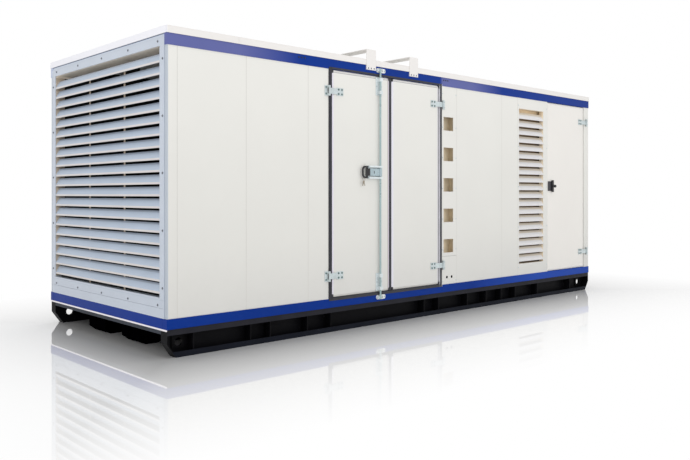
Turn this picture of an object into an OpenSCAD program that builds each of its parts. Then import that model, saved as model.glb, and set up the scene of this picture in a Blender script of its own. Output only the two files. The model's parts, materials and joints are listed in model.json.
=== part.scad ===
// Canopied gas generator set: sound-proof steel enclosure on a skid base.
// +X runs along the enclosure away from the radiator louvre, the door side faces -Y, +Z is up.
// The origin is at the middle of the footprint, at ground level.
// "Station" is the distance along the enclosure from the louvred end,
// "depth" is the distance inwards from the outer face of a wall.

/* [Enclosure] */
// Length over the end walls
canopy_l = 6665; // [6500:5:7000]
// Width over the long walls
canopy_w = 2400; // [2200:5:2600]
// Thickness of the insulated wall panels
wall_t = 60; // [50:1:80]
// Height of the wall panels
panel_h = 2241; // [2200:1:2400]
// Width of the corner posts at the louvred end
post_w = 95; // [80:1:110]
// Width of the corner posts beside the control door
hinge_post_w = 120; // [110:1:130]
// Open joint between neighbouring panels
seam = 2; // [1:0.5:3]
// Thickness of the floor plate
floor_t = 6; // [4:1:10]

/* [Rails] */
// Height of the blue base rail
base_rail_h = 86; // [70:1:100]
// Height of the blue top rail
top_rail_h = 96; // [80:1:110]
// How far both rails stand proud of the wall face
rail_proud = 5; // [3:1:8]

/* [Roof] */
// Height of the roof edge flashing
flashing_h = 60; // [50:1:80]
// Sheet thickness of the flashing
flashing_t = 3; // [2:0.5:4]
// How far the flashing stands out past the wall face
flashing_overhang = 10; // [9:1:14]
// Width of the flashing on top of the roof
flashing_top_w = 90; // [60:1:120]
// Station of the first joint in the long flashings
flashing_joint_1 = 698; // [500:1:900]
// Station of the second joint in the long flashings
flashing_joint_2 = 4378; // [4100:1:4600]
// Number of roof panels
roof_panel_n = 5; // [3:1:7]

/* [Roof hoops] */
// Station of the near edge of the first hoop
hoop_1_s = 2256; // [2100:1:2300]
// Station of the near edge of the second hoop
hoop_2_s = 2904; // [2700:1:3000]
// Width of a hoop along the roof
hoop_w = 134; // [120:1:140]
// Height of the hoop top above the roof
hoop_rise = 101; // [80:1:130]
// Sheet thickness of a hoop
hoop_t = 6; // [4:1:8]
// Overlap of a hoop leg on the top rail
hoop_leg_lap = 49; // [35:1:60]

/* [Skid] */
// Height of the skid
skid_h = 237; // [200:1:260]
// Depth of the outer runners
runner_w = 100; // [80:1:120]
// Height of the upper lip of the outer runners
runner_lip = 50; // [40:1:60]
// Height of the lip across each end of the skid
end_lip = 48; // [30:1:60]
// Plate thickness of the runners
runner_t = 8; // [6:1:12]
// Length of the chamfer at the runner ends
chamfer_l = 83; // [60:1:110]
// Height of the chamfer at the runner ends
chamfer_h = 116; // [90:1:130]
// Stations of the runner ribs that are set out from the louvred end
near_ribs = [243, 826, 1044, 1481, 1780, 3151];
// Distances from the other end of the remaining runner ribs
far_ribs = [497, 1294, 1788, 2086, 2390, 2753, 3269];
// Distance of an inner runner from the centre line
inner_runner_y = 350; // [300:5:450]
// Width of an inner runner
inner_runner_w = 340; // [280:5:380]
// Setback of the inner runners from the skid ends
inner_runner_setback = 110; // [90:1:120]
// Length of the end chamfer of an inner runner
inner_chamfer_l = 60; // [40:1:90]
// Height of the end chamfer of an inner runner
inner_chamfer_h = 45; // [30:1:60]
// Diameter of the hole in the end plate of an inner runner
end_hole = 42; // [30:1:50]
// Height of that hole
end_hole_z = 122; // [100:1:150]
// Number of rows of cross members
cross_n = 6; // [4:1:8]
// Height of a cross member
cross_h = 120; // [90:1:140]
// Width of a cross member
cross_w = 60; // [50:1:80]

/* [Lifting lugs] */
// Diameter of the lifting bore
lug_bore = 70; // [50:1:80]
// Thickness of the lug plate
lug_t = 12; // [8:1:16]
// Distance of the bore from the skid end
lug_from_end = 152; // [150:1:170]
// Height of the bore above the ground
lug_z = 112; // [110:1:130]
// Side length of the lug plate
lug_plate = 130; // [110:1:140]
// Distance from the bore down to the lower edge of the lug plate
lug_drop = 54; // [50:1:60]
// Radial clearance of the runner web round a lifting bore
lug_web_clear = 2; // [1:0.5:4]

/* [Wall panels] */
// Width of the first wall panel next to the louvred end
panel_1_w = 688; // [600:1:700]
// Width of the second wall panel
panel_2_w = 713; // [600:1:720]
// Station at which the double doorway starts
doorway_s = 1754; // [1700:1:1800]
// Width of the window strip beside the doorway
strip_w = 266; // [250:1:280]
// Width of the narrow panel before the louvre column
panel_5_w = 339; // [300:1:350]

/* [Double door] */
// Width of the left door leaf
leaf_w = 812; // [780:1:830]
// Width of the right door leaf
right_leaf_w = 768; // [750:1:780]
// Thickness of a door leaf
leaf_t = 55; // [40:1:56]
// Clear gap between a leaf and what surrounds it
door_gap = 5; // [5:0.5:6]
// Visible width of the dark gasket at the jambs
gasket_w = 38; // [32:1:44]
// Lap of the gasket on the blue rails
gasket_lap = 20; // [15:1:25]
// How far the gasket stands proud of the rails
gasket_proud = 2; // [1:0.5:3]
// Height of the sill gasket above the base rail
sill_gasket_h = 9; // [6:1:12]
// Width of the seal on the meeting edge
seal_w = 25; // [20:1:26]
// Thickness of the seal on the meeting edge
seal_t = 25; // [15:1:30]
// Clear gap between the seal and the second leaf
meeting_gap = 9; // [9:0.5:12]
// Width of a door stop behind the leaf and behind the wall
stop_w = 30; // [20:1:40]
// Thickness of a door stop
stop_t = 20; // [10:1:30]
// Width of the bevelled border round a leaf's outer face
bevel_w = 22; // [15:1:28]
// Depth of the bevelled border
bevel_d = 8; // [4:0.5:10]

/* [Hinges] */
// Height of the plate on the frame
hinge_h = 100; // [90:1:120]
// Height of the knuckle and arm on the leaf
hinge_arm_h = 56; // [50:1:60]
// End clearance between the knuckles
knuckle_gap = 1; // [0.5:0.5:2]
// Height of the plate on the leaf
leaf_plate_h = 76; // [70:1:90]
// Width of the plate on the leaf
leaf_plate_w = 86; // [70:1:90]
// Distance of the hinge pin from the edge of its leaf
pin_from_leaf = 50; // [48:1:54]
// Distance from the leaf's edge to the far end of its plate
strap_reach = 146; // [140:1:150]
// Width of the plate on the frame
frame_plate_w = 40; // [34:1:44]
// Clearance of the hinge arm in front of the gasket
arm_clear = 5; // [5:0.5:6]
// Thickness of the hinge straps
strap_t = 6; // [4:1:8]
// Radius of the knuckle
knuckle_r = 10; // [8:0.5:10]
// Height of the pressed ribs on the hinge arm
rib_h = 9; // [6:1:12]
// How far the pressed ribs stand out
rib_out = 3; // [2:0.5:4]
// Radius of the hinge pin
pin_r = 5; // [4:0.5:6]
// Radial clearance of pins and rods in their bores
fit = 0.05; // [0.02:0.01:0.1]
// Distance of the hinge pin in front of the wall face
pin_out = 24; // [24:0.5:26]
// Distance of the upper hinge centre from the top of the wall panel
hinge_from_top = 214; // [160:1:300]
// Distance of the lower hinge centre from the base rail
hinge_from_rail = 222; // [160:1:320]

/* [Door lock] */
// Distance of the lock rod from the hinged edge of its leaf
rod_from_edge = 648; // [636:1:690]
// Radius of the lock rod
rod_r = 10; // [8:0.5:12]
// Distance of the rod axis in front of the leaf
rod_out = 26; // [26:1:34]
// Height of the lock centre
lock_z = 1568; // [1400:1:1700]
// Length of the lock case
case_l = 196; // [180:1:200]
// Length of the lock case past the rod
case_past_rod = 18; // [16:1:25]
// Height of the lock case
case_h = 133; // [120:1:150]
// Depth of the lock case
case_d = 46; // [44:1:60]
// Sheet thickness of the lock case
case_t = 6; // [4:1:8]
// Height of the lips along the front of the lock case
case_lip = 12; // [8:1:14]
// Height of the lever plate
lever_h = 74; // [60:1:80]
// Wall of the lever's hub round the rod
hub_t = 7; // [5:0.5:8]
// Width of the key slot in the lever plate
key_slot_w = 10; // [6:1:14]
// Height of the key slot in the lever plate
key_slot_h = 26; // [20:1:32]
// Distance of the key slot from the grip
key_slot_from_grip = 88; // [50:1:100]
// Distance from the rod axis to the grip
grip_from_rod = 185; // [185:1:200]
// Length of the black grip
grip_l = 76; // [60:1:90]
// Depth of the grip bar
grip_d = 10; // [8:1:14]
// Height of the black grip
grip_h = 125; // [110:1:140]
// Thickness of the grip bar
grip_t = 18; // [14:1:20]
// Length of a rod guide plate
guide_h = 184; // [150:1:190]
// Distance of a guide plate from the leaf's edge
guide_from_edge = 10; // [5:1:20]
// Width of a rod guide plate
guide_w = 90; // [80:1:110]
// Height of a bearing block on a guide plate
bearing_h = 34; // [25:1:40]
// Wall of a bearing block beside the rod
bearing_t = 10; // [6:1:14]
// Reach of the cam on the rod ends
cam_reach = 22; // [14:0.5:24]
// Length of the rod past its cams
rod_overrun = 4; // [2:1:6]
// Clearance of a cam in its keeper
cam_clear = 6; // [5:0.5:8]
// Height of a cam
cam_h = 30; // [20:1:36]
// Reach of a keeper plate from the rod towards the hinge
keeper_near_w = 44; // [40:1:46]
// Reach of a keeper plate from the rod away from the hinge
keeper_far_w = 90; // [60:1:100]
// Thickness of a keeper
keeper_t = 6; // [4:1:8]
// Height of a keeper
keeper_h = 44; // [40:1:50]

/* [Window strip] */
// Number of square windows
window_n = 5; // [3:1:5]
// Width of a window
window_w = 170; // [150:1:176]
// Height of a window
window_h = 152; // [140:1:170]
// Offset of the windows from the middle of their strip
window_offset = 17; // [0:1:20]
// Pitch of the windows
window_pitch = 346; // [330:1:350]
// Height of the lowest window centre
window_low_z = 758; // [740:1:770]
// Sheet thickness of the cover with the windows
cover_t = 4; // [3:0.5:6]
// Height at which the cover starts
cover_z = 640; // [620:1:650]
// Depth of the air duct behind the windows
duct_d = 110; // [90:1:130]
// Diameter of the two cable entries
cable_bore = 32; // [25:1:40]
// Height of the cable entries
cable_z = 403; // [390:1:450]
// Distance between the cable entries
cable_pitch = 84; // [70:1:100]

/* [Louvres] */
// Pitch of the louvre blades
blade_pitch = 100.6; // [95:0.1:105]
// Height of the outer lip of a blade
blade_lip = 18; // [15:1:28]
// Height of a blade from lip edge to inner edge
blade_rise = 83; // [70:1:84]
// Depth of a blade
blade_d = 38; // [30:1:50]
// Sheet thickness of a blade
blade_t = 3; // [2:0.5:4]
// Gap between the sill of the end louvre and its lowest blade
end_sill_gap = 30; // [20:1:40]
// Gap between the sill of a side louvre and its lowest blade
side_sill_gap = 26; // [20:1:36]
// Height of a side louvre's sill above the base rail
side_sill_h = 141; // [130:1:160]
// Distance from the top of the wall panel to a side louvre
side_head_h = 136; // [120:1:150]
// Width of the side louvre column
side_louvre_panel_w = 678; // [660:1:690]
// Margin from the column's near edge to its opening
side_louvre_margin = 29; // [25:1:40]
// Width of the opening in a side louvre
side_louvre_w = 549; // [500:1:560]
// Thickness of the louvre frame sheets
louvre_sheet = 5; // [4:0.5:6]
// Width of the frame flange beside the end louvre
end_flange_w = 76; // [70:1:90]
// Height of the frame flange over the end louvre
end_flange_head_h = 65; // [55:1:80]
// Height of the frame flange under the end louvre
end_flange_sill_h = 85; // [60:1:100]
// Distance of the flange down from the top of the rail
end_flange_drop = 30; // [20:1:40]
// Margin from the corner to the end louvre's flange
end_flange_margin = 38; // [30:1:45]
// Depth of the end louvre frame
end_louvre_d = 180; // [120:1:200]
// Height of the drip strip under the base rail at the louvred end
drip_h = 14; // [10:1:20]
// Thickness of the drip strip
drip_t = 8; // [5:0.5:9]
// Width of a mullion behind the end louvre blades
mullion_w = 30; // [24:1:50]
// Offset of the mullions from the thirds of the opening
mullion_offset = 15; // [0:1:30]
// Height of the silver sill panel below the end louvre
end_sill_h = 82; // [70:1:110]

/* [Control door] */
// Width of the control cabinet door
control_w = 919; // [880:1:930]
// Gap round the control cabinet door
control_gap = 5; // [5:0.5:6]
// Distance of the latch hub from the door's free edge
latch_from_edge = 91; // [88:1:100]
// Height of the latch hub
latch_z = 1452; // [1300:1:1600]
// Thickness of the latch backing plate
latch_plate_t = 8; // [6:1:10]
// Height of the latch backing plate
latch_plate_h = 126; // [110:1:140]
// Width of the latch backing plate
latch_plate_w = 90; // [80:1:96]
// Distance from the hub to the backing plate's near edge
latch_plate_lap = 8; // [8:1:12]
// Length of the latch wing
latch_wing_l = 157; // [130:1:170]
// Width of the latch wing
latch_wing_w = 34; // [24:1:40]
// Thickness of the latch wing
latch_wing_t = 17; // [12:1:20]
// Radius of the latch hub
latch_hub_r = 14; // [10:1:16]
// Clearance behind the end of the latch pin
pin_end = 0.5; // [0.3:0.1:1]
// Distance from the hub to the thumb knob
latch_knob_out = 38; // [34:1:50]
// Radius of the thumb knob
latch_knob_r = 18; // [12:1:24]
// Height of the thumb knob over the wing
latch_knob_h = 14; // [8:1:15]

/* [Hidden] */
$fn = 48;
// levels
rail_top_z = skid_h + base_rail_h;
panel_top_z = rail_top_z + panel_h;
top_rail_top_z = panel_top_z + top_rail_h;
roof_z = top_rail_top_z + flashing_h;
// stations along the long walls
panel_1_s = post_w;
panel_2_s = panel_1_s + panel_1_w;
panel_3_s = panel_2_s + panel_2_w;
left_leaf_s = doorway_s + gasket_w + door_gap;
seal_s = left_leaf_s + leaf_w;
right_leaf_s = seal_s + seal_w + meeting_gap;
right_leaf_end = right_leaf_s + right_leaf_w;
doorway_end = right_leaf_end + door_gap + gasket_w;
strip_s = doorway_end + seam;
panel_4_s = strip_s + strip_w;
// stations set out from the far end
right_post_s = canopy_l - hinge_post_w;
control_end = right_post_s - control_gap;
control_s = control_end - control_w;
louvre_s = control_s - control_gap - side_louvre_panel_w;
panel_5_s = louvre_s - panel_5_w;
rib_stations = concat(near_ribs, [for (d = far_ribs) canopy_l - d]);
// end louvre
end_opening_s = end_flange_margin + end_flange_w;
end_flange_z = rail_top_z + end_sill_h;
end_flange_top = top_rail_top_z - end_flange_drop;
end_opening_z = end_flange_z + end_flange_sill_h;
end_opening_top = end_flange_top - end_flange_head_h;
end_blade_z = end_opening_z + end_sill_gap;
end_blade_n = 1 + floor((end_opening_top - end_blade_z - blade_rise) / blade_pitch);
// side louvres
side_opening_s = louvre_s + side_louvre_margin;
side_opening_z = rail_top_z + side_sill_h;
side_opening_top = panel_top_z - side_head_h;
side_blade_z = side_opening_z + side_sill_gap;
side_blade_n = 1 + floor((side_opening_top - side_blade_z - blade_rise) / blade_pitch);
// doors
left_pin_s = left_leaf_s - pin_from_leaf;
right_pin_s = right_leaf_end + pin_from_leaf;
control_pin_s = control_end + pin_from_leaf;
rod_s = left_leaf_s + rod_from_edge;
leaf_z = rail_top_z + sill_gasket_h + door_gap;
leaf_top_z = panel_top_z - door_gap;
gasket_face = -rail_proud - gasket_proud;
hinge_zs = [rail_top_z + hinge_from_rail, panel_top_z - hinge_from_top];
// lock
case_s = rod_s + case_past_rod - case_l;
case_z = lock_z - case_h / 2;
keeper_face = -rail_proud - keeper_t;
low_keeper_z = skid_h + base_rail_h / 2;
top_keeper_z = panel_top_z + top_rail_h * 0.6;
low_guide_z = leaf_z + guide_from_edge;
top_guide_z = leaf_top_z - guide_from_edge - guide_h;
grip_s = rod_s - grip_from_rod;
latch_s = control_s + latch_from_edge;
latch_wing_d = -latch_plate_t - door_gap;
// colours
wall_colour = [0.89, 0.88, 0.85];
blue = [0.08, 0.19, 0.55];
silver = [0.70, 0.75, 0.80];
black = [0.10, 0.11, 0.13];
steel = [0.72, 0.77, 0.78];
beige = [0.66, 0.60, 0.50];

// ---- helpers -------------------------------------------------------------

// Box on the door side, given by stations, depths and heights
module slab(s0, s1, d0, d1, z0, z1)
  translate([s0 - canopy_l / 2, d0 - canopy_w / 2, z0])
    cube([s1 - s0, d1 - d0, z1 - z0]);

// Upright cylinder at a station and depth on the door side
module post(s, d, r, z0, z1)
  translate([s - canopy_l / 2, d - canopy_w / 2, z0])
    cylinder(r = r, h = z1 - z0);

// Cylinder square to the long wall
module cross_pin(s, z, r, d0, d1)
  translate([s - canopy_l / 2, d0 - canopy_w / 2, z])
    rotate([-90, 0, 0])
      cylinder(r = r, h = d1 - d0);

// Profile drawn as [depth, height], run along the wall between two stations
module run_along(s0, s1)
  translate([s0 - canopy_l / 2, -canopy_w / 2, 0])
    rotate([90, 0, 90])
      linear_extrude(s1 - s0)
        children();

// Outline drawn as [station, height], run from one depth to another
module run_in(d0, d1)
  translate([-canopy_l / 2, d1 - canopy_w / 2, 0])
    rotate([90, 0, 0])
      linear_extrude(d1 - d0)
        children();

// Outline drawn as [station, depth], run from one height to another
module run_up(z0, z1)
  translate([-canopy_l / 2, -canopy_w / 2, z0])
    linear_extrude(z1 - z0)
      children();

// The same pieces on the far long wall
module on_back()
  mirror([0, 1, 0])
    children();

// Turns a piece made on the door side to the louvred end, stations running from the front corner
module on_left_end()
  translate([(canopy_w - canopy_l) / 2, (canopy_l - canopy_w) / 2, 0])
    mirror([1, -1, 0])
      children();

// The same pieces on both long walls
module both_sides() {
  children();
  on_back()
    children();
}

// ---- skid ----------------------------------------------------------------

// Side outline of a runner with chamfered ends, shrunk by a plate thickness
module runner_outline(from_end, cut_l, cut_h, inset = 0) {
  slope = inset * (sqrt(cut_l ^ 2 + cut_h ^ 2) - cut_l) / cut_h;
  lean = inset * (sqrt(cut_l ^ 2 + cut_h ^ 2) - cut_h) / cut_l;
  a = from_end;
  b = canopy_l - from_end;
  polygon([
    [a + inset, skid_h - inset],
    [a + inset, cut_h + lean],
    [a + cut_l + slope, inset],
    [b - cut_l - slope, inset],
    [b - inset, cut_h + lean],
    [b - inset, skid_h - inset]
  ]);
}

module outer_outline(inset = 0)
  runner_outline(0, chamfer_l, chamfer_h, inset);

module inner_outline(inset = 0)
  runner_outline(inner_runner_setback, inner_chamfer_l, inner_chamfer_h, inset);

module outer_runner() {
  difference() {
    run_in(0, runner_w) outer_outline();
    run_in(runner_t, runner_w - runner_t) outer_outline(runner_t);
    intersection() {
      run_in(-1, runner_t + 1) outer_outline(runner_t);
      slab(0, canopy_l, -1, runner_t + 1, runner_lip - 2, skid_h - runner_lip);
    }
    for (s = [lug_from_end, canopy_l - lug_from_end])
      cross_pin(s, lug_z, lug_bore / 2 + lug_web_clear, runner_w - runner_t - 1, runner_w + 1);
  }
  for (s = rib_stations)
    slab(s, s + runner_t, 0, runner_w - runner_t, runner_t, skid_h - runner_t);
}

module skid_front_runner()
  color(black) outer_runner();

module skid_back_runner()
  color(black) on_back() outer_runner();

// Inner channel runners that carry the set, closed by drilled end plates
module inner_runner() {
  mid = canopy_w / 2 - inner_runner_y;
  d0 = mid - inner_runner_w / 2;
  d1 = mid + inner_runner_w / 2;
  difference() {
    run_in(d0, d1) inner_outline();
    run_in(d0 + runner_t, d1 + 1) inner_outline(runner_t);
    for (m = [0, 1])
      mirror([m, 0, 0])
        translate([inner_runner_setback - 1 - canopy_l / 2, mid - canopy_w / 2, end_hole_z])
          rotate([0, 90, 0])
            cylinder(r = end_hole / 2, h = runner_t + 2);
  }
}

module skid_inner_runners()
  color(black) both_sides() inner_runner();

// Channel cross members between the runners, in three spans
module cross_span(s, d0, d1) {
  difference() {
    slab(s, s + cross_w, d0, d1, skid_h - cross_h, skid_h);
    slab(s + runner_t, s + cross_w + 1, d0 - 1, d1 + 1, skid_h - cross_h + runner_t, skid_h - runner_t);
  }
}

module skid_cross_members()
  color(black)
    for (i = [1 : cross_n]) {
      s = i * canopy_l / (cross_n + 1) - cross_w / 2;
      inner_d = canopy_w / 2 - inner_runner_y;
      both_sides()
        cross_span(s, runner_w, inner_d - inner_runner_w / 2);
      cross_span(s, inner_d + inner_runner_w / 2, canopy_w - inner_d - inner_runner_w / 2);
    }

// Angle that closes each end of the skid between the outer runners
module skid_end_members()
  color(black)
    for (m = [0, 1])
      mirror([m, 0, 0])
        difference() {
          slab(0, inner_runner_setback, runner_w, canopy_w - runner_w, skid_h - end_lip, skid_h);
          slab(runner_t, inner_runner_setback - runner_t, runner_w + runner_t,
               canopy_w - runner_w - runner_t, skid_h - end_lip - 1, skid_h - runner_t);
        }

// Doubler plates with the lifting bores, on the runner webs
module lifting_lugs()
  color(black)
    both_sides()
      for (s = [lug_from_end, canopy_l - lug_from_end])
        difference() {
          slab(s - lug_plate / 2, s + lug_plate / 2, runner_w - runner_t - lug_t, runner_w - runner_t,
               lug_z - lug_drop, lug_z + lug_plate / 2);
          cross_pin(s, lug_z, lug_bore / 2, runner_w - runner_t - lug_t - 1, runner_w - runner_t + 1);
        }

module floor_plate()
  color(black)
    slab(wall_t, canopy_l - wall_t, wall_t, canopy_w - wall_t, skid_h, skid_h + floor_t);

// ---- rails, posts and roof -----------------------------------------------

// Rails along both long walls and across the far end, proud of the walls
module rails(z0, z1) {
  both_sides()
    slab(-rail_proud, canopy_l + rail_proud, -rail_proud, wall_t, z0, z1);
  slab(canopy_l - wall_t, canopy_l + rail_proud, wall_t + seam, canopy_w - wall_t - seam, z0, z1);
}

module base_rails()
  color(blue) {
    rails(skid_h, rail_top_z);
    slab(-rail_proud, wall_t, wall_t + seam, canopy_w - wall_t - seam, skid_h, rail_top_z);
  }

// The long rails step back behind the flange of the end louvre
module top_rails()
  color(blue)
    difference() {
      rails(panel_top_z, top_rail_top_z);
      slab(-rail_proud - 1, 0, end_flange_margin - seam, canopy_w - end_flange_margin + seam,
           panel_top_z - 1, top_rail_top_z + 1);
    }

module corner_posts()
  color(wall_colour)
    both_sides() {
      slab(0, post_w - seam, 0, wall_t, rail_top_z, panel_top_z);
      slab(right_post_s, canopy_l, 0, wall_t, rail_top_z, panel_top_z);
    }

module roof_panels()
  color(wall_colour) {
    pitch = canopy_l / roof_panel_n;
    for (i = [0 : roof_panel_n - 1])
      slab(i * pitch + seam / 2, (i + 1) * pitch - seam / 2, 0, canopy_w,
           top_rail_top_z, roof_z - flashing_t);
  }

// Angle profile of the roof edge, drawn as [depth, height]
module flashing_profile()
  polygon([
    [-flashing_overhang, top_rail_top_z],
    [-flashing_overhang + flashing_t, top_rail_top_z],
    [-flashing_overhang + flashing_t, roof_z - flashing_t],
    [flashing_top_w, roof_z - flashing_t],
    [flashing_top_w, roof_z],
    [-flashing_overhang, roof_z]
  ]);

module long_flashing(s0, s1)
  run_along(s0 + seam / 2, s1 - seam / 2)
    flashing_profile();

// Flashing across one end, its upright leg running on to the corners
module end_flashing() {
  inner = -flashing_overhang + flashing_t;
  on_left_end() {
    run_along(flashing_top_w + seam, canopy_w - flashing_top_w - seam)
      flashing_profile();
    slab(inner, canopy_w - inner, -flashing_overhang, inner, top_rail_top_z, roof_z - flashing_t);
  }
}

module roof_flashing()
  color(wall_colour) {
    both_sides() {
      long_flashing(-flashing_overhang, flashing_joint_1);
      long_flashing(flashing_joint_1, flashing_joint_2);
      long_flashing(flashing_joint_2, canopy_l + flashing_overhang);
    }
    end_flashing();
    mirror([1, 0, 0]) end_flashing();
  }

// Strip bent to a hoop over the roof, its legs bolted to the top rails
module roof_hoop(s) {
  outer_d = -flashing_overhang - hoop_t;
  low = panel_top_z + hoop_leg_lap;
  top = roof_z + hoop_rise;
  slab(s, s + hoop_w, outer_d, canopy_w - outer_d, top - hoop_t, top);
  both_sides() {
    slab(s, s + hoop_w, outer_d, -flashing_overhang, low, top);
    slab(s, s + hoop_w, -flashing_overhang, -rail_proud, low, top_rail_top_z - seam);
  }
}

module roof_hoops()
  color(wall_colour) {
    roof_hoop(hoop_1_s);
    roof_hoop(hoop_2_s);
  }

// ---- long walls ----------------------------------------------------------

// Plain insulated panel between two stations
module wall_panel(s0, s1)
  slab(s0, s1 - seam, 0, wall_t, rail_top_z, panel_top_z);

module left_panels() {
  wall_panel(panel_1_s, panel_2_s);
  wall_panel(panel_2_s, panel_3_s);
  wall_panel(panel_3_s, doorway_s);
}

module right_panels() {
  wall_panel(panel_4_s, panel_5_s);
  wall_panel(panel_5_s, louvre_s);
}

module front_wall_left()
  color(wall_colour) left_panels();

module front_wall_right()
  color(wall_colour) right_panels();

module back_wall()
  color(wall_colour)
    on_back() {
      left_panels();
      wall_panel(strip_s, panel_4_s);
      right_panels();
      wall_panel(control_s - control_gap + seam, right_post_s);
    }

// Cover sheet with the column of square windows
module window_cover()
  color(wall_colour)
    difference() {
      slab(strip_s, panel_4_s - seam, 0, cover_t, cover_z + seam, panel_top_z);
      for (i = [0 : window_n - 1]) {
        s = strip_s + strip_w / 2 - window_offset;
        z = window_low_z + i * window_pitch;
        slab(s - window_w / 2, s + window_w / 2, -1, cover_t + 1, z - window_h / 2, z + window_h / 2);
      }
    }

// Channel behind the windows that carries the air
module window_duct()
  color(beige)
    difference() {
      slab(strip_s, panel_4_s - seam, cover_t, duct_d, cover_z + seam, panel_top_z);
      slab(strip_s + cover_t, panel_4_s - seam - cover_t, cover_t - 1, duct_d - cover_t,
           cover_z + seam + cover_t, panel_top_z - cover_t);
    }

// Panel below the windows with two cable entries
module cable_entry_panel()
  color(wall_colour)
    difference() {
      slab(strip_s, panel_4_s - seam, 0, wall_t, rail_top_z, cover_z);
      for (m = [-1, 1])
        cross_pin(strip_s + strip_w / 2 + m * cable_pitch / 2, cable_z, cable_bore / 2, -1, wall_t + 1);
    }

// ---- louvres -------------------------------------------------------------

// Folded blade drawn as [depth, height] from the lower edge of its lip
module blade_profile() {
  slope = (blade_rise - blade_lip) / blade_d;
  drop = blade_t * sqrt(1 + slope ^ 2);
  polygon([
    [0, 0],
    [blade_t, 0],
    [blade_t, blade_lip - drop + slope * blade_t],
    [blade_d, blade_rise - drop],
    [blade_d, blade_rise],
    [0, blade_lip]
  ]);
}

// Blades one above the other between two stations, from the height of the lowest lip
module blade_stack(s0, s1, z, n)
  for (i = [0 : n - 1])
    translate([0, 0, z + i * blade_pitch])
      run_along(s0, s1)
        blade_profile();

// Wall panel with the opening, its sheet frame and the bottom sill
module louvre_panel()
  difference() {
    slab(louvre_s, louvre_s + side_louvre_panel_w, 0, wall_t, rail_top_z, panel_top_z);
    slab(side_opening_s, side_opening_s + side_louvre_w, -1, wall_t + 1,
         side_opening_z, side_opening_top);
  }

module louvre_blades()
  blade_stack(side_opening_s, side_opening_s + side_louvre_w, side_blade_z, side_blade_n);

module front_louvre_panel()
  color(wall_colour) louvre_panel();

module front_louvre_blades()
  color(wall_colour) louvre_blades();

module back_louvre_panel()
  color(wall_colour) on_back() louvre_panel();

module back_louvre_blades()
  color(wall_colour) on_back() louvre_blades();

module end_louvre_blades()
  color(silver)
    on_left_end()
      blade_stack(end_opening_s, canopy_w - end_opening_s, end_blade_z, end_blade_n);

module end_louvre_mullions()
  color(silver)
    on_left_end()
      for (i = [1, 2]) {
        s = end_opening_s + i * (canopy_w - 2 * end_opening_s) / 3 - mullion_offset;
        top = end_blade_z + (end_blade_n - 1) * blade_pitch + blade_rise;
        slab(s - mullion_w / 2, s + mullion_w / 2, blade_d, end_louvre_d, end_opening_z, top);
      }

// Rectangle of the end opening, widened by a margin, as [station, height]
module end_rect(grow, low, high)
  translate([end_opening_s - grow, low])
    square([canopy_w - 2 * end_opening_s + 2 * grow, high - low]);

// Face flange and duct walls round the end louvre, welded to one frame
module end_louvre_frame()
  color(silver)
    on_left_end() {
      run_in(-louvre_sheet, 0)
        difference() {
          end_rect(end_flange_w, end_flange_z, end_flange_top);
          end_rect(0, end_opening_z, end_opening_top);
        }
      run_in(0, end_louvre_d)
        difference() {
          end_rect(louvre_sheet, end_opening_z - louvre_sheet, end_opening_top + louvre_sheet);
          end_rect(0, end_opening_z, end_opening_top);
        }
    }

// Silver sill panel under the end louvre and header beam over it
module end_trim_panels()
  color(silver)
    on_left_end() {
      slab(end_flange_margin, canopy_w - end_flange_margin, -louvre_sheet, 0,
           rail_top_z, end_flange_z - seam);
      slab(wall_t + seam, canopy_w - wall_t - seam, 0, wall_t,
           rail_top_z, end_opening_z - louvre_sheet);
      slab(wall_t + seam, canopy_w - wall_t - seam, 0, wall_t,
           end_opening_top + louvre_sheet, top_rail_top_z);
      slab(0, canopy_w, -drip_t, 0, skid_h - drip_h, skid_h);
    }

module right_end_wall()
  color(wall_colour)
    for (i = [0 : 2]) {
      w = (canopy_w - 2 * wall_t) / 3;
      slab(canopy_l - wall_t, canopy_l, wall_t + i * w + seam / 2, wall_t + (i + 1) * w - seam / 2,
           rail_top_z, panel_top_z);
    }

// ---- doorway -------------------------------------------------------------

// Dark gasket bars at both jambs, lapping over the rails
module door_jamb_gaskets()
  color([0.22, 0.22, 0.25])
    for (s = [doorway_s, doorway_end - gasket_w]) {
      slab(s, s + gasket_w, gasket_face, -rail_proud, rail_top_z - gasket_lap, panel_top_z + gasket_lap);
      slab(s, s + gasket_w, -rail_proud, wall_t, rail_top_z, panel_top_z);
    }

module door_sill_head_gaskets()
  color([0.22, 0.22, 0.25]) {
    s0 = doorway_s + gasket_w + seam;
    s1 = doorway_end - gasket_w - seam;
    slab(s0, s1, gasket_face, -rail_proud, panel_top_z, panel_top_z + gasket_lap);
    slab(s0, s1, gasket_face, -rail_proud, rail_top_z - gasket_lap, rail_top_z + sill_gasket_h);
    slab(s0, s1, -rail_proud, leaf_t, rail_top_z, rail_top_z + sill_gasket_h);
  }

// Stop bars that the leaves close against
module door_stops()
  color(wall_colour) {
    for (s = [doorway_s - stop_w, doorway_end - gasket_w - 2 * stop_w])
      slab(s, s + gasket_w + 2 * stop_w, wall_t, wall_t + stop_t, rail_top_z, panel_top_z - stop_w - seam);
    slab(doorway_s - stop_w, doorway_end, wall_t, wall_t + stop_t,
         panel_top_z - stop_w, panel_top_z + stop_w);
  }

// ---- hinges, dir is +1 where the leaf lies on the +X side of its pin ------

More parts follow.
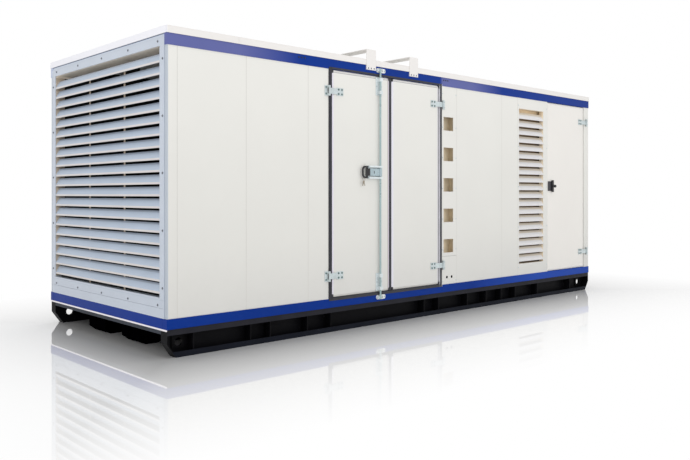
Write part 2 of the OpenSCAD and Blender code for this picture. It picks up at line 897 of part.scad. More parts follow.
// Plate on the leaf with a cranked, ribbed arm and a knuckle, bored where it turns
module leaf_strap(pin_s, dir, z, bored = true) {
  edge = pin_s + dir * pin_from_leaf;
  plate_end = edge + dir * strap_reach;
  plate_start = plate_end - dir * leaf_plate_w;
  arm_in = gasket_face - arm_clear;
  arm_out = arm_in - strap_t;
  half = hinge_arm_h / 2;
  difference() {
    union() {
      run_up(z - leaf_plate_h / 2, z + leaf_plate_h / 2)
        polygon([[plate_start, 0], [plate_end, 0], [plate_end, -strap_t], [plate_start, -strap_t]]);
      run_up(z - half, z + half)
        polygon([
          [pin_s, arm_in],
          [edge, arm_in],
          [plate_start, 0],
          [plate_start + dir * strap_t, 0],
          [plate_start + dir * strap_t, -strap_t],
          [edge, arm_out],
          [pin_s, arm_out]
        ]);
      for (m = [-1, 1])
        run_up(z + m * half / 2 - rib_h / 2, z + m * half / 2 + rib_h / 2)
          polygon([
            [pin_s + dir * knuckle_r, arm_in - 1],
            [edge, arm_in - 1],
            [plate_start, -1],
            [plate_start, -strap_t],
            [edge, arm_out - rib_out],
            [pin_s + dir * knuckle_r, arm_out - rib_out]
          ]);
      post(pin_s, -pin_out, knuckle_r, z - half, z + half);
    }
    if (bored)
      post(pin_s, -pin_out, pin_r + fit, z - hinge_h / 2 - 1, z + hinge_h / 2 + 1);
  }
}

// Plate on the frame with two lugs that hold the pin
module frame_strap(pin_s, dir, z) {
  far = pin_s - dir * (knuckle_r / 2 + frame_plate_w);
  root = pin_s - dir * knuckle_r;
  lug_z0 = hinge_arm_h / 2 + knuckle_gap;
  run_up(z - hinge_h / 2, z + hinge_h / 2)
    polygon([[far, 0], [root, 0], [root, -strap_t], [far, -strap_t]]);
  for (z0 = [z - hinge_h / 2, z + lug_z0]) {
    run_up(z0, z0 + hinge_h / 2 - lug_z0)
      polygon([
        [root - dir * strap_t, 0],
        [pin_s, -strap_t],
        [pin_s, -pin_out],
        [root, -pin_out],
        [root - dir * strap_t, -strap_t]
      ]);
    post(pin_s, -pin_out, knuckle_r, z0, z0 + hinge_h / 2 - lug_z0);
  }
  post(pin_s, -pin_out, pin_r, z - hinge_h / 2, z + hinge_h / 2);
}

module hinge_frame_plates()
  color(steel)
    for (z = hinge_zs) {
      frame_strap(left_pin_s, 1, z);
      frame_strap(right_pin_s, -1, z);
      frame_strap(control_pin_s, -1, z);
    }

// ---- left leaf with its lock ----------------------------------------------

// Leaf between two stations and heights, with a bevelled border on its outer face
module leaf_slab(s0, s1, z0 = leaf_z, z1 = leaf_top_z)
  intersection() {
    run_up(z0, z1)
      polygon([
        [s0, bevel_d],
        [s0 + bevel_w, 0],
        [s1 - bevel_w, 0],
        [s1, bevel_d],
        [s1, leaf_t],
        [s0, leaf_t]
      ]);
    run_along(s0, s1)
      polygon([
        [bevel_d, z0],
        [leaf_t, z0],
        [leaf_t, z1],
        [bevel_d, z1],
        [0, z1 - bevel_w],
        [0, z0 + bevel_w]
      ]);
  }

module left_leaf()
  color(wall_colour) leaf_slab(left_leaf_s, seal_s);

module left_leaf_seal()
  color([0.22, 0.22, 0.25])
    slab(seal_s, seal_s + seal_w, 0, seal_t, leaf_z, leaf_top_z);

module left_hinge_straps()
  color(steel)
    for (z = hinge_zs)
      leaf_strap(left_pin_s, 1, z);

// Guide plate with two bored bearing blocks for the lock rod
module rod_guide(z) {
  slab(rod_s - guide_w / 2, rod_s + guide_w / 2, -case_t, 0, z, z + guide_h);
  for (zb = [z + guide_from_edge, z + guide_h - guide_from_edge - bearing_h])
    difference() {
      slab(rod_s - rod_r - bearing_t, rod_s + rod_r + bearing_t, -rod_out - rod_r - hub_t, -case_t,
           zb, zb + bearing_h);
      post(rod_s, -rod_out, rod_r + fit, zb - 1, zb + bearing_h + 1);
    }
}

module lock_guides()
  color(steel) {
    rod_guide(low_guide_z);
    rod_guide(top_guide_z);
  }

// Lipped channel case: a back plate with two flanges that carry the rod
module case_body()
  difference() {
    slab(case_s, case_s + case_l, -case_d, 0, case_z, case_z + case_h);
    slab(case_s - 1, case_s + case_l + 1, -case_d + case_t, -case_t,
         case_z + case_t, case_z + case_h - case_t);
    slab(case_s - 1, case_s + case_l + 1, -case_d - 1, -case_d + case_t + 1,
         case_z + case_t + case_lip, case_z + case_h - case_t - case_lip);
    post(rod_s, -rod_out, rod_r + fit, case_z - 1, case_z + case_h + 1);
  }

module lock_case()
  color(steel) case_body();

module rod_body() {
  end = cam_h / 2 + rod_overrun;
  post(rod_s, -rod_out, rod_r, low_keeper_z - end, top_keeper_z + end);
  for (z = [low_keeper_z, top_keeper_z])
    slab(rod_s - cam_reach, rod_s, -rod_out - rod_r / sqrt(2), -rod_out + rod_r / sqrt(2),
         z - cam_h / 2, z + cam_h / 2);
}

module lock_rod()
  color(steel) rod_body();

// Lever plate with its hub round the rod and a key slot
module lever_body() {
  half = case_h / 2 - case_t - case_lip - door_gap;
  slot_s = grip_s + key_slot_from_grip;
  difference() {
    union() {
      post(rod_s, -rod_out, rod_r + hub_t, lock_z - half, lock_z + half);
      slab(grip_s, rod_s, -rod_out - case_t / 2, -rod_out + case_t / 2,
           lock_z - lever_h / 2, lock_z + lever_h / 2);
    }
    post(rod_s, -rod_out, rod_r + fit, lock_z - half - 1, lock_z + half + 1);
    slab(slot_s, slot_s + key_slot_w, -rod_out - case_t, -rod_out + case_t,
         lock_z - key_slot_h / 2, lock_z + key_slot_h / 2);
  }
}

module lock_lever()
  color(steel) lever_body();

// D-shaped pull grip at the end of the lever
module grip_body()
  run_in(-rod_out - grip_d / 2, -rod_out + grip_d / 2)
    difference() {
      grip_outline(0);
      grip_outline(grip_t);
    }

module grip_outline(inset) {
  r = grip_h / 3 - inset;
  left = grip_s - grip_l + inset;
  right = grip_s - inset;
  low = lock_z - grip_h / 2 + inset;
  top = lock_z + grip_h / 2 - inset;
  polygon([
    for (a = [90 : 15 : 180]) [left + r + r * cos(a), top - r + r * sin(a)],
    for (a = [180 : 15 : 270]) [left + r + r * cos(a), low + r + r * sin(a)],
    [right, low],
    [right, top]
  ]);
}

module lock_grip()
  color([0.08, 0.08, 0.09]) grip_body();

// Forked keeper on a rail that takes the cam of the rod
module keeper(z) {
  r = keeper_h / 2;
  fork = cam_reach + cam_clear;
  run_in(keeper_face, -rail_proud)
    union() {
      translate([rod_s - keeper_near_w + r, z - r])
        square([keeper_near_w + keeper_far_w - keeper_h, keeper_h]);
      for (s = [rod_s - keeper_near_w + r, rod_s + keeper_far_w - r])
        translate([s, z]) circle(r = r);
    }
  for (s = [rod_s - fork - keeper_t, rod_s + fork])
    slab(s, s + keeper_t, -rod_out - rod_r, keeper_face, z - cam_h / 2, z + cam_h / 2);
}

module keeper_pair() {
  keeper(low_keeper_z);
  keeper(top_keeper_z);
}

module lock_keepers()
  color(steel) keeper_pair();

// ---- right leaf ------------------------------------------------------------

module right_leaf()
  color(wall_colour) leaf_slab(right_leaf_s, right_leaf_end);

module right_hinge_straps()
  color(steel)
    for (z = hinge_zs)
      leaf_strap(right_pin_s, -1, z);

// ---- back doors, which stay shut --------------------------------------------

module back_door_leaves()
  color(wall_colour)
    on_back() {
      leaf_slab(left_leaf_s, seal_s);
      leaf_slab(right_leaf_s, right_leaf_end);
    }

module back_door_seals()
  color([0.22, 0.22, 0.25])
    on_back() {
      slab(doorway_s, left_leaf_s - 1, 0, wall_t, rail_top_z, panel_top_z);
      slab(seal_s + 1, right_leaf_s - 1, 0, seal_t, rail_top_z, panel_top_z);
      slab(right_leaf_end + 1, doorway_end, 0, wall_t, rail_top_z, panel_top_z);
    }

// Hinge shown shut, its two halves held together by the pin
module shut_hinge(pin_s, dir, z) {
  leaf_strap(pin_s, dir, z, bored = false);
  frame_strap(pin_s, dir, z);
}

module back_door_hardware()
  color(steel)
    on_back() {
      for (z = hinge_zs) {
        shut_hinge(left_pin_s, 1, z);
        shut_hinge(right_pin_s, -1, z);
      }
      case_body();
      rod_body();
      lever_body();
      grip_body();
      rod_guide(low_guide_z);
      rod_guide(top_guide_z);
      keeper_pair();
    }

// ---- control cabinet door ---------------------------------------------------

module control_leaf()
  color(wall_colour)
    leaf_slab(control_s, control_end, rail_top_z + control_gap, panel_top_z - control_gap);

module control_hinge_straps()
  color(steel)
    for (z = hinge_zs)
      leaf_strap(control_pin_s, -1, z);

module control_latch_plate()
  color([0.08, 0.08, 0.09])
    difference() {
      slab(latch_s + latch_plate_lap - latch_plate_w, latch_s + latch_plate_lap, -latch_plate_t, 0,
           latch_z - latch_plate_h / 2, latch_z + latch_plate_h / 2);
      cross_pin(latch_s, latch_z, pin_r + fit, -latch_plate_t - 1, 1);
    }

// Wing that turns on the backing plate, with a thumb knob on a side arm
module control_latch_wing()
  color([0.08, 0.08, 0.09]) {
    wing_face = latch_wing_d - latch_wing_t;
    cross_pin(latch_s, latch_z, pin_r, latch_wing_d, -pin_end);
    slab(latch_s - latch_wing_w / 2, latch_s + latch_wing_w / 2, wing_face, latch_wing_d,
         latch_z - latch_wing_l / 2, latch_z + latch_wing_l / 2);
    slab(latch_s, latch_s + latch_knob_out, wing_face, wing_face + latch_wing_t / 2,
         latch_z - latch_knob_r / 2, latch_z + latch_knob_r / 2);
    cross_pin(latch_s + latch_knob_out, latch_z, latch_knob_r, wing_face - latch_knob_h,
              wing_face + latch_wing_t / 2);
    cross_pin(latch_s, latch_z, latch_hub_r, wing_face - latch_knob_h / 2, wing_face);
  }

// ---- drawing ----------------------------------------------------------------

skid_front_runner();
skid_back_runner();
skid_inner_runners();
skid_cross_members();
skid_end_members();
lifting_lugs();
floor_plate();
base_rails();
top_rails();
corner_posts();
roof_panels();
roof_flashing();
roof_hoops();
front_wall_left();
front_wall_right();
window_cover();
window_duct();
cable_entry_panel();
front_louvre_panel();
front_louvre_blades();
end_louvre_frame();
end_louvre_blades();
end_louvre_mullions();
end_trim_panels();
right_end_wall();
back_wall();
back_louvre_panel();
back_louvre_blades();
back_door_leaves();
back_door_seals();
back_door_hardware();
door_jamb_gaskets();
door_sill_head_gaskets();
door_stops();
hinge_frame_plates();
lock_keepers();
left_leaf();
left_leaf_seal();
left_hinge_straps();
lock_guides();
lock_case();
lock_rod();
lock_lever();
lock_grip();
right_leaf();
right_hinge_straps();
control_leaf();
control_hinge_straps();
control_latch_plate();
control_latch_wing();
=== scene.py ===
import json
import math
import bmesh
import bpy
from mathutils import Matrix, Vector


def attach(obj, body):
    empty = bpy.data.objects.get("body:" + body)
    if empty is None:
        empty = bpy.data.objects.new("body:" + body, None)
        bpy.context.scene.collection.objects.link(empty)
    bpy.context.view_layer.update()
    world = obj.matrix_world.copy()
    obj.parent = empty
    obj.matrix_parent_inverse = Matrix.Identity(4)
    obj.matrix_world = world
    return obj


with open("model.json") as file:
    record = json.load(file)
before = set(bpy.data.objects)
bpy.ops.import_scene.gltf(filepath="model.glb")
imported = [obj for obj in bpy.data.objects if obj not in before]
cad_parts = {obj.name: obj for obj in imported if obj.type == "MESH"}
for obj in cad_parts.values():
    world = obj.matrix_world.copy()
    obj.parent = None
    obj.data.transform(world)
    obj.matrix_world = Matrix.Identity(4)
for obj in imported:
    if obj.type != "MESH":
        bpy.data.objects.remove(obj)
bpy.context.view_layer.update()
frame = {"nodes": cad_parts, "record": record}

# ---- driving sizes in millimetres -------------------------------------------------
LENGTH, WIDTH, ROOF_TOP = 6665, 2400, 2720
PANEL_Z = (325, 2562)
LEFT_LEAF = (1797, 2609)
RIGHT_LEAF = (2643, 3411)
LEAF_Z = (337, 2559)
CONTROL_EDGE = 6540
PIN_GAP = 50
HINGE_Z = (545, 2350)
ROD = 2445
LOCK_Z = 1568
HOOPS = (2256, 2904)
WINDOWS, WINDOW_S, WINDOW_Z, WINDOW_PITCH = 5, 3572, 758, 346
SIDE_LOUVRE = (4960, 5520)
END_BLADE_Z, BLADE_PITCH = 519.5, 100.6


# ---- places: millimetres along a wall, inwards from its face and up, as metres in the frame ----
def x_at(s):
    return (s - LENGTH / 2) / 1000


def y_at(d):
    return (d - WIDTH / 2) / 1000


def front(s, d, z):
    return Vector((x_at(s), y_at(d), z / 1000))


def back(s, d, z):
    return Vector((x_at(s), y_at(WIDTH - d), z / 1000))


def louvred_end(e, d, z):
    return Vector((x_at(d), y_at(e), z / 1000))


def far_end(e, d, z):
    return Vector((x_at(LENGTH - d), y_at(e), z / 1000))


OUT = {front: Vector((0, -1, 0)), back: Vector((0, 1, 0)),
       louvred_end: Vector((-1, 0, 0)), far_end: Vector((1, 0, 0))}


# ---- shader nodes ---------------------------------------------------------------
def lin(r, g, b):
    """Linear colour of an sRGB tone of 0 to 255."""
    def f(c):
        c /= 255
        return c / 12.92 if c <= 0.04045 else ((c + 0.055) / 1.055) ** 2.4
    return (f(r), f(g), f(b), 1)


def put(tree, socket, value):
    """Links the socket where the value is another socket, and otherwise sets it."""
    if isinstance(value, bpy.types.NodeSocket):
        tree.links.new(value, socket)
    else:
        socket.default_value = value


def node(tree, kind, **inputs):
    """New shader node; an input's name has _ for a space."""
    made = tree.nodes.new("ShaderNode" + kind)
    for name, value in inputs.items():
        put(tree, made.inputs[name.replace("_", " ")], value)
    return made


def calc(tree, operation, *values):
    made = node(tree, "Math")
    made.operation = operation
    for socket, value in zip(made.inputs, values):
        put(tree, socket, value)
    return made.outputs[0]


def noise(tree, place, scale, detail, **inputs):
    return node(tree, "TexNoise", Vector=place, Scale=scale, Detail=detail, **inputs).outputs["Fac"]


def spread(tree, value, **inputs):
    return node(tree, "MapRange", Value=value, **inputs).outputs[0]


def scaled(tree, colour, factor):
    made = node(tree, "VectorMath")
    made.operation = "SCALE"
    put(tree, made.inputs[0], colour)
    put(tree, made.inputs["Scale"], factor)
    return made.outputs[0]


def mixed(tree, share, colour, rgb):
    """The colour with a share of rgb in it; a Mix node's colours are inputs 6 and 7 and output 2."""
    made = node(tree, "Mix")
    made.data_type = "RGBA"
    for i, value in ((0, share), (6, colour), (7, lin(*rgb))):
        put(tree, made.inputs[i], value)
    return made.outputs[2]


def tone_along(tree, coordinate, stops):
    """Colour that runs through the (metres, rgb) stops."""
    low, high = stops[0][0], stops[-1][0]
    made = node(tree, "ValToRGB")
    put(tree, made.inputs[0], calc(tree, "DIVIDE", calc(tree, "SUBTRACT", coordinate, low), high - low))
    elements = made.color_ramp.elements
    while len(elements) < len(stops):
        elements.new(0.5)
    for element, (at, rgb) in zip(elements, stops):
        element.position = (at - low) / (high - low)
        element.color = lin(*rgb)
    return made.outputs[0]


def inside(tree, axes, tests):
    """1 where every test holds, and 0 elsewhere. along, deep, high and each_pitch make the tests."""
    mask = None
    for test in tests:
        if test[0] == "repeat":
            first, pitch, height = test[1:]
            turns = calc(tree, "DIVIDE", calc(tree, "SUBTRACT", axes[2], first), pitch)
            holds = calc(tree, "LESS_THAN", calc(tree, "FRACT", turns), height / pitch)
        else:
            axis, low, high = test
            holds = calc(tree, "MULTIPLY", calc(tree, "GREATER_THAN", axes[axis], low),
                         calc(tree, "LESS_THAN", axes[axis], high))
        mask = holds if mask is None else calc(tree, "MULTIPLY", mask, holds)
    return mask


COAT_ROUGH = 0.12
ROUGH_SPREAD = 0.08
EDGE_RADIUS = 0.0015
GRAIN_DEPTH = 0.001
SPANGLE_SCALE, STAIN_SCALE, GLOSS_SCALE = 75, 9, 14
DIRT_TOP = 0.9


def surface(name, paint, rough, metal=0.0, coat=0.0, vary=0.04, scale=2.2, fine=260.0, bump=0.05,
            dirt=0.0, dirt_colour=(90, 84, 76), specular=0.5, speckle=0.0, bands=()):
    """Material with noise in its tone, gloss and grain, and softened edges.

    paint is one rgb or (axis, [(metres, rgb), ...]); the ramps given below are painted shade by height and
    painted sheen. bands are ([test, ...], rgb, strength); most bands given below are painted light and shade.
    """
    material = bpy.data.materials.new(name)
    material.use_nodes = True
    t = material.node_tree
    t.nodes.clear()
    place = node(t, "TexCoord").outputs["Object"]
    axes = node(t, "SeparateXYZ", Vector=place).outputs
    if len(paint) == 2:
        colour = tone_along(t, axes[paint[0]], paint[1])
    else:
        base = node(t, "RGB")
        base.outputs[0].default_value = lin(*paint)
        colour = base.outputs[0]
    for tests, rgb, strength in bands:
        colour = mixed(t, calc(t, "MULTIPLY", inside(t, axes, tests), strength), colour, rgb)
    colour = scaled(t, colour, spread(t, noise(t, place, scale, 5), From_Min=0.3, From_Max=0.7,
                                      To_Min=1 - vary, To_Max=1 + vary))
    if speckle:
        spangle = node(t, "TexVoronoi", Vector=place, Scale=SPANGLE_SCALE).outputs["Color"]
        grey = node(t, "RGBToBW", Color=spangle).outputs[0]
        colour = scaled(t, colour, spread(t, grey, To_Min=1 - speckle, To_Max=1 + speckle))
    if dirt:
        low = spread(t, axes[2], From_Min=0.0, From_Max=DIRT_TOP, To_Min=1.0, To_Max=0.15)
        blots = noise(t, place, STAIN_SCALE, 8, Roughness=0.7)
        stain = spread(t, blots, From_Min=0.5, From_Max=0.8, To_Max=dirt)
        colour = mixed(t, calc(t, "MULTIPLY", low, stain), colour, dirt_colour)
    gloss = spread(t, noise(t, place, GLOSS_SCALE, 6), To_Min=max(0.02, rough - ROUGH_SPREAD),
                   To_Max=min(1, rough + ROUGH_SPREAD))
    edge = node(t, "Bevel", Radius=EDGE_RADIUS)
    edge.samples = 4
    grain = node(t, "Bump", Strength=bump, Distance=GRAIN_DEPTH, Height=noise(t, place, fine, 3),
                 Normal=edge.outputs[0])
    shader = node(t, "BsdfPrincipled", Base_Color=colour, Metallic=metal, Roughness=gloss,
                  Coat_Weight=coat, Coat_Roughness=COAT_ROUGH, Specular_IOR_Level=specular,
                  Normal=grain.outputs[0])
    node(t, "OutputMaterial", Surface=shader.outputs[0])
    return material


# ---- where a band lies: tests in millimetres ------------------------------------
def along(s0, s1):
    return (0, x_at(s0), x_at(s1))


def deep(d0, d1):
    return (1, y_at(d0), y_at(d1))


def high(z0, z1):
    return (2, z0 / 1000, z1 / 1000)


def each_pitch(first, pitch, height):
    return ("repeat", first / 1000, pitch / 1000, height / 1000)


def patches(paint, *spots):
    """Paint with soft patches of painted sheen and light along the set, each (start, full from, full to, end,
    tone).
    """
    stops = []
    for start, on, off, end, tone in spots:
        stops += [(start, paint), (on, tone), (off, tone), (end, paint)]
    return (0, [(x_at(s), rgb) for s, rgb in stops])


# ---- looks ------------------------------------------------------------------------
LINING = ([along(59, LENGTH - 59), deep(54.5, WIDTH - 54.5), high(240, 2662)], (34, 33, 34), 1.0)
FACE = deep(-100, 8.5)
# painted shade: a grey line along the fold 20 to 26 mm below the leaves' top edge
LEAF_FOLD_SHADE = ([high(LEAF_Z[1] - 26, LEAF_Z[1] - 20), FACE], (140, 140, 146), 0.8)
# painted shade by height: walls, posts, door leaves and side panels darker towards the bottom
WALL_SHADE_BY_HEIGHT = (2, [(0.3, (215, 214, 210)), (0.9, (221, 220, 215)), (2.6, (227, 226, 221))])
# the rails' blue paint, a pale tone for painted sheen on the top rail, and a lighter blue for painted light
# on the base rail
RAIL_PAINT, PAINTED_SHEEN_TONE, PAINTED_LIGHT_TONE = (10, 50, 135), (98, 104, 160), (30, 70, 165)
END_LIP = along(-27.5, 0.5)
END_OPENING = high(500, 2550)
SKID_TOP, SKID_FOOT, SKID_FACE = high(186, 238), high(0, 48), deep(-100, 1)
ALUMINIUM = dict(rough=0.40, metal=0.2, coat=0.08, vary=0.03, scale=3.5)
PANEL = dict(rough=0.42, coat=0.12, vary=0.010)
DOOR = dict(rough=0.40, coat=0.12, vary=0.010, dirt=0.04)
RAIL = dict(rough=0.34, coat=0.04, vary=0.05, scale=1.3)
SKID = dict(rough=0.5, scale=4, bump=0.12, dirt=0.05, specular=0.07)
RUBBER = dict(rough=0.72, vary=0.10, scale=12, bump=0.25, fine=420, specular=0.3)

LOOKS = {
    # painted panels and doors
    "wall": surface("panel_paint", WALL_SHADE_BY_HEIGHT, dirt=0.05, bands=[LINING], **PANEL),
    "left_leaf": surface("left_door_paint", WALL_SHADE_BY_HEIGHT, **DOOR, bands=[
        LINING, LEAF_FOLD_SHADE,
        # painted highlight on the left-facing bevel
        ([along(LEFT_LEAF[0], LEFT_LEAF[0] + 21), FACE], (236, 232, 244), 1.0),
        # painted highlight beside the rod
        ([along(ROD + 20, ROD + 41), FACE], (240, 241, 237), 0.6),
        # painted shade along the fold before the meeting edge
        ([along(LEFT_LEAF[1] - 38, LEFT_LEAF[1] - 23), FACE], (188, 182, 179), 0.8),
        # painted shade on the right-facing bevel
        ([along(LEFT_LEAF[1] - 23, LEFT_LEAF[1] + 1), FACE], (208, 203, 214), 1.0)]),
    "right_leaf": surface("right_door_paint", WALL_SHADE_BY_HEIGHT, **DOOR, bands=[
        LINING, LEAF_FOLD_SHADE,
        # painted highlight on the left-facing bevel
        ([along(RIGHT_LEAF[0], RIGHT_LEAF[0] + 22), FACE], (228, 226, 236), 1.0),
        # painted shade along the fold before the edge
        ([along(RIGHT_LEAF[1] - 37, RIGHT_LEAF[1] - 23), FACE], (204, 203, 206), 0.8),
        # painted shade on the right-facing bevel
        ([along(RIGHT_LEAF[1] - 23, RIGHT_LEAF[1] + 1), FACE], (180, 179, 184), 1.0)]),
    "leaf": surface("door_paint", (233, 230, 225), bands=[LINING], **DOOR),
    "trim": surface("edge_paint", (230, 227, 224), 0.36, coat=0.15, vary=0.01, bands=[
        # painted light: the flashing paler and cooler on its end side
        ([along(-67.5, -2.5)], (238, 238, 244), 1.0)]),
    "side_blade": surface("side_blade_paint", (220, 219, 220), 0.42, coat=0.1, vary=0.010, bands=[
        # painted warm shade on the blades more than 22 mm in from their face
        ([deep(22, WIDTH - 22)], (206, 194, 174), 0.8)]),
    "side_panel": surface("side_panel_paint", WALL_SHADE_BY_HEIGHT, **PANEL, bands=[
        # painted light: bright beige on the sides and head of the louvre opening
        ([deep(0.5, WIDTH - 0.5), along(*SIDE_LOUVRE)], (250, 234, 208), 1.0)]),
    "cable_panel": surface("cable_panel_paint", WALL_SHADE_BY_HEIGHT, **PANEL, bands=[
        # painted shade: near black on every face more than 1.5 mm in from the front
        ([deep(1.5, 200)], (14, 14, 16), 1.0)]),
    "post": surface("post_paint", WALL_SHADE_BY_HEIGHT, **PANEL, bands=[
        # painted shade: the post's end side grey-blue
        ([along(-7.5, 10)], (176, 186, 198), 0.9), LINING]),
    "roof": surface("roof_paint", (198, 197, 193), 0.46, coat=0.08, vary=0.02, scale=1.5, dirt=0.05),
    "seam": surface("seam_sealant", (209, 207, 202), 0.6, vary=0.03, scale=20, specular=0.3),
    # blue rails
    # painted sheen: two pale stretches along the top rail
    "top_rail": surface("top_rail_paint", patches(
        RAIL_PAINT, (-200, 0, 700, 1400, PAINTED_SHEEN_TONE), (3430, 3460, 4000, 4600, PAINTED_SHEEN_TONE)),
        specular=0.08, **RAIL, bands=[
            # painted highlight: the top rail pale blue-white where it runs across the louvred end
            ([along(-67.5, 32.5), deep(35, WIDTH - 0.2)], (196, 206, 226), 1.0), LINING]),
    # painted light: the base rail a lighter blue towards the far end
    "base_rail": surface("base_rail_paint", patches(
        RAIL_PAINT, (4000, 5200, 6700, 7000, PAINTED_LIGHT_TONE)),
        specular=0.05, dirt=0.04, dirt_colour=(100, 110, 150), **RAIL, bands=[
            ([along(-67.5, -3.5)], (8, 50, 140), 1.0), LINING]),
    # louvred end
    "flange": surface("flange_paint", (194, 202, 214), **ALUMINIUM, bands=[
        LINING,
        # painted warm reflected light on the sides of the opening up to 92.5 mm in
        ([along(0, 92.5), END_OPENING], (208, 192, 172), 1.0),
        # painted shade deeper in the opening
        ([along(92.5, 192.5), END_OPENING], (36, 30, 25), 1.0),
        # painted light on the head soffit
        ([along(0, 192.5), high(2550, 2580)], (255, 244, 228), 1.0),
        ([along(-27.5, -0.1), high(468, 473)], (176, 186, 200), 0.7)]),
    "sill": surface("sill_paint", (196, 204, 216), **ALUMINIUM, bands=[
        # the second band is a painted highlight along the ledge, 222.5 to 237.5 mm up
        LINING, ([high(222.5, 237.5), along(-27.5, 2.5)], (246, 241, 246), 1.0)]),
    "blade": surface("blade_paint", (182, 196, 214), 0.42, metal=0.1, coat=0.05, vary=0.03, scale=3.5, bands=[
        # painted shade on each blade's upper inner part, 28 to 52.5 mm in
        ([along(28, 52.5)], (150, 158, 170), 0.6),
        # painted highlight on each blade's lip
        ([each_pitch(END_BLADE_Z, BLADE_PITCH, 18.5), along(-7.5, 0.7)], (212, 208, 207), 1.0)]),
    # tan as painted warm shade on the mullions in the gaps, and black deeper than 39.5 mm as painted shade
    "mullion": surface("mullion_paint", (176, 160, 140), 0.5, metal=0.1, vary=0.08, scale=6, bands=[
        ([along(39.5, 332.5)], (14, 13, 12), 1.0)]),
    # painted shadow: the blue-grey line under the flashing at the louvred end
    "painted_shadow_line": surface("painted_shadow_under_flashing", (112, 128, 160), 0.8, vary=0.08, scale=30, specular=0.2),
    # skid
    "skid": surface("skid_paint", (7, 7, 9), vary=0.2, dirt_colour=(56, 55, 56), **SKID),
    # black paint drawn darker still and without gloss: painted shade on the inner runners under the enclosure
    "inner_runner": surface("inner_runner_paint", (2, 2, 3), 0.7, vary=0.2, scale=4, bump=0.12, specular=0.0),
    "runner": surface("runner_paint", (12, 12, 15), vary=0.16, dirt_colour=(60, 58, 58), **SKID, bands=[
        # painted light on the top lip of the outer face
        ([SKID_TOP, SKID_FACE], (40, 40, 46), 1.0),
        # painted highlight: a bluish tone on the bottom lip of the outer face
        ([SKID_FOOT, SKID_FACE], (20, 23, 32), 1.0)]),
    # painted light: the end member drawn dark grey, lighter than the skid's black
    "end_lip": surface("end_lip_paint", (26, 26, 30), vary=0.12, dirt_colour=(56, 55, 56), **SKID, bands=[
        # painted light on the end member's top lip
        ([SKID_TOP, END_LIP], (60, 64, 72), 1.0)]),
    # zinc and brass
    "zinc": surface("zinc_plate", (200, 210, 212), 0.36, metal=0.35, vary=0.06, scale=9, speckle=0.08,
                    bump=0.08),
    "bright": surface("bright_zinc", (216, 224, 226), 0.32, metal=0.25, vary=0.05, scale=12, speckle=0.05),
    "white_zinc": surface("white_zinc", (240, 243, 242), 0.34, metal=0.15, vary=0.04, scale=12, speckle=0.04),
    "lever": surface("lever_zinc", (170, 188, 194), 0.34, metal=0.35, vary=0.06, scale=9, speckle=0.08,
                     bump=0.08),
    "rod": surface("rod_zinc", (158, 180, 182), 0.30, metal=0.3, vary=0.05, scale=12, speckle=0.05),
    "dark_zinc": surface("dark_zinc", (104, 126, 124), 0.4, metal=0.4, vary=0.1, scale=30),
    "screw": surface("screw_zinc", (120, 124, 132), 0.4, metal=0.5, vary=0.1, scale=30),
    "brass": surface("key_brass", (150, 138, 120), 0.35, metal=0.8, vary=0.1, scale=30),
    # rubber and plastic
    "jamb": surface("jamb_rubber", (52, 52, 58), **RUBBER, bands=[
        # painted light: a light strip on the gasket's side face beside the right leaf
        ([along(RIGHT_LEAF[1] + 38, RIGHT_LEAF[1] + 44), FACE], (214, 213, 210), 1.0),
        # painted highlight: a thin bright line at the right leaf's edge
        ([along(RIGHT_LEAF[1] + 4, RIGHT_LEAF[1] + 6), FACE], (236, 236, 242), 1.0)]),
    "rubber": surface("gasket_rubber", (60, 60, 65), **RUBBER),
    "black": surface("black_plastic", (30, 29, 33), 0.46, vary=0.10, scale=10, bump=0.3, fine=700),
    "latch": surface("latch_plastic", (62, 60, 66), 0.5, vary=0.08, scale=14, bump=0.3, fine=700),
    # air duct and sound baffles
    "duct": surface("duct_paint", (236, 222, 196), 0.60, vary=0.06, scale=3),
    # duct beige darkened as painted shade
    "baffle": surface("baffle_paint", (132, 110, 82), 0.70, vary=0.08, scale=3, bands=[
        # painted light: bright beige at the top, from 2390 mm up
        ([high(2390, 2700)], (250, 228, 192), 1.0)]),
}
SLOT_LOOK = {
    "panel_white": "wall", "rail_blue": "base_rail", "skid_black": "skid", "galvanised": "zinc",
    "gasket_rubber": "rubber", "black_plastic": "black", "duct_beige": "duct"}
NODE_LOOK = {
    "roof_panels": "roof", "roof_flashing": "trim", "roof_hoops": "trim", "corner_posts": "post",
    "top_rails": "top_rail", "left_leaf": "left_leaf", "right_leaf": "right_leaf",
    "control_leaf": "leaf", "back_door_leaves": "leaf", "door_jamb_gaskets": "jamb",
    "cable_entry_panel": "cable_panel", "front_louvre_panel": "side_panel", "back_louvre_panel": "side_panel",
    "front_louvre_blades": "side_blade", "back_louvre_blades": "side_blade",
    "end_louvre_frame": "flange", "end_louvre_blades": "blade", "end_louvre_mullions": "mullion",
    "end_trim_panels": "sill", "skid_front_runner": "runner", "skid_back_runner": "runner",
    "skid_inner_runners": "inner_runner", "skid_end_members": "end_lip",
    "lock_rod": "rod", "lock_lever": "lever", "lock_keepers": "white_zinc", "lock_case": "bright",
    "lock_guides": "bright", "control_latch_plate": "latch"}
for part in frame["record"]["subparts"]:
    name = part["node"]
    look = NODE_LOOK[name] if name in NODE_LOOK else SLOT_LOOK[part["material_slot"]]
    slots = frame["nodes"][name].data.materials
    slots.clear()
    slots.append(LOOKS[look])


# ---- mesh tools ---------------------------------------------------------------------
def mm(x, y, z):
    return Vector((x, y, z)) / 1000


